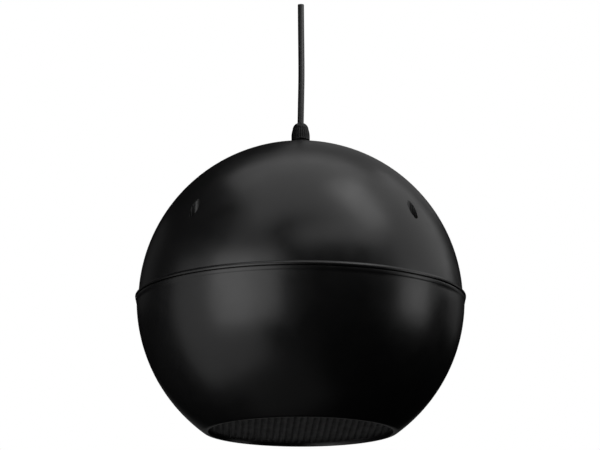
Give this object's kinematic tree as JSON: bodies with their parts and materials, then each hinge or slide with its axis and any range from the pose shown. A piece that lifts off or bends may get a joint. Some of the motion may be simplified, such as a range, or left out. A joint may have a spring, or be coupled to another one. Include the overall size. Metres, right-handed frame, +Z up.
{
  "type": "pendant ball loudspeaker",
  "caption": "Ball loudspeaker hung on its own cable: a round shell in two halves, a cable gland on top and a perforated grille below one cone driver.",
  "frame": {"origin": "middle of the cable's cut upper end, by which the loudspeaker hangs", "axes": "+Z up along the cable and the axis of the ball, -Y to the front, +X to the right seen from the front"},
  "size_m": [0.2832, 0.2832, 0.3795],
  "materials": {
    "shell": "satin",
    "nylon": "satin",
    "cable_sheath": "satin",
    "grille_sheet": "satin paint",
    "baffle_plastic": "matt",
    "gasket_foam": "matt",
    "screw_steel": "zinc plated",
    "basket_paint": "matt paint",
    "cone_paper": "pressed pulp",
    "surround_cloth": "doped cloth",
    "spider_cloth": "resin-dipped cloth",
    "copper": "enamelled copper",
    "motor_steel": "zinc plated",
    "ferrite": "pressed and fired",
    "core_steel": "varnished laminations",
    "terminal_plastic": "moulded",
    "core_wire": "smooth",
    "collar_brass": "turned",
    "wadding_fibre": "loose fibre"
  },
  "bodies": {
    "root": {"upper_shell": "shell", "lower_shell": "shell", "seam_gasket": "gasket_foam", "shell_screws": "screw_steel", "grille": "grille_sheet", "baffle": "baffle_plastic", "baffle_screws": "screw_steel", "driver_gasket": "gasket_foam", "basket": "basket_paint", "driver_screws": "screw_steel", "surround": "surround_cloth", "spider": "spider_cloth", "top_plate": "motor_steel", "magnet": "ferrite", "back_plate": "motor_steel", "terminal_strip": "baffle_plastic", "flexible_leads": "copper", "gland_body": "nylon", "gland_nut": "nylon", "gland_seal": "gasket_foam", "lock_nut": "nylon", "hanger": "screw_steel", "transformer_core": "core_steel", "transformer_winding": "copper", "transformer_screws": "screw_steel", "cable": "cable_sheath", "cable_tail": "cable_sheath", "stop_collar": "collar_brass", "terminal_block": "terminal_plastic", "cable_cores": "core_wire", "driver_wires": "core_wire", "wadding": "wadding_fibre"},
    "cone": {"cone": "cone_paper", "dust_cap": "cone_paper", "voice_coil": "copper"}
  },
  "joints": [
    {"name": "cone_slide", "type": "slide", "parent": "root", "child": "cone", "axis": [0, 0, 1], "range_m": [-0.003, 0.003], "stiffness_N_per_m": 2000, "deforming": ["surround", "spider", "flexible_leads"]}
  ]
}
